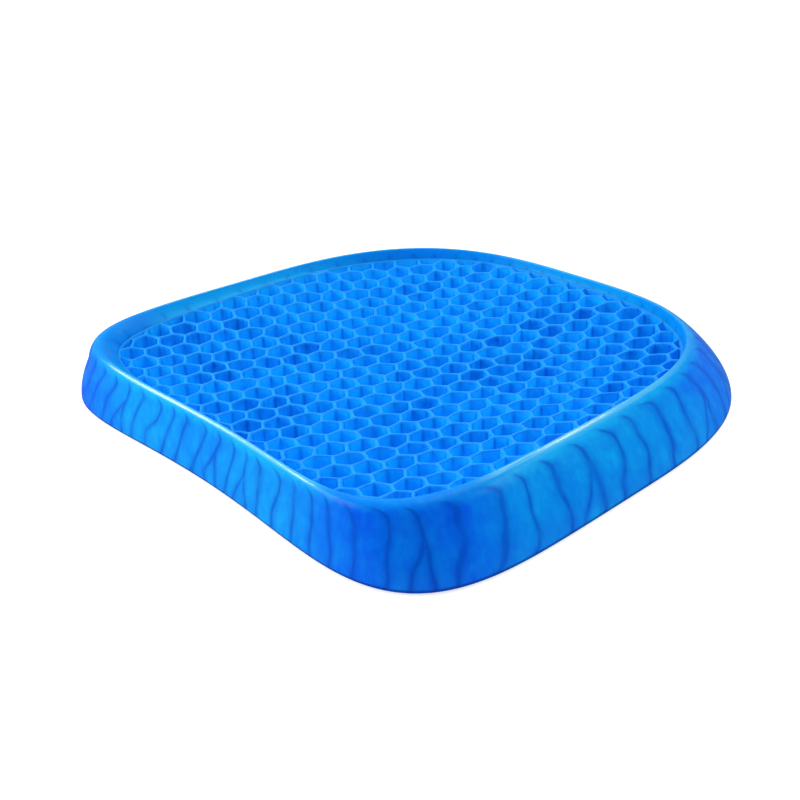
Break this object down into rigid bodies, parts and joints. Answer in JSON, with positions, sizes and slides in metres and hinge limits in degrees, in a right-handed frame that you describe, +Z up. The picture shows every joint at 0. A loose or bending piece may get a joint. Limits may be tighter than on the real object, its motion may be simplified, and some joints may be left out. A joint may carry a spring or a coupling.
{
  "type": "seat cushion",
  "caption": "Wide gel seat cushion: a dished field of open hexagonal cells in two layers inside a raised, sharp-crested rim, with a sloping skirt down to the seat.",
  "frame": {"origin": "middle of the cushion's box, on the seat it lies on", "axes": "+X to the sitter's right along the longer side, -Y to the bowed front edge, +Z up"},
  "size_m": [0.372, 0.322, 0.0405],
  "materials": {
    "cell_gel": "soft translucent azure gel, satin",
    "web_gel": "soft translucent azure gel, satin",
    "skirt_gel": "soft translucent azure gel, glossy",
    "rim_gel": "soft translucent azure gel, glossy"
  },
  "bodies": {
    "root": {"upper_honeycomb": "cell_gel", "centre_web": "web_gel", "lower_honeycomb": "cell_gel", "outer_skirt": "skirt_gel", "top_rim": "rim_gel"}
  },
  "joints": []
}
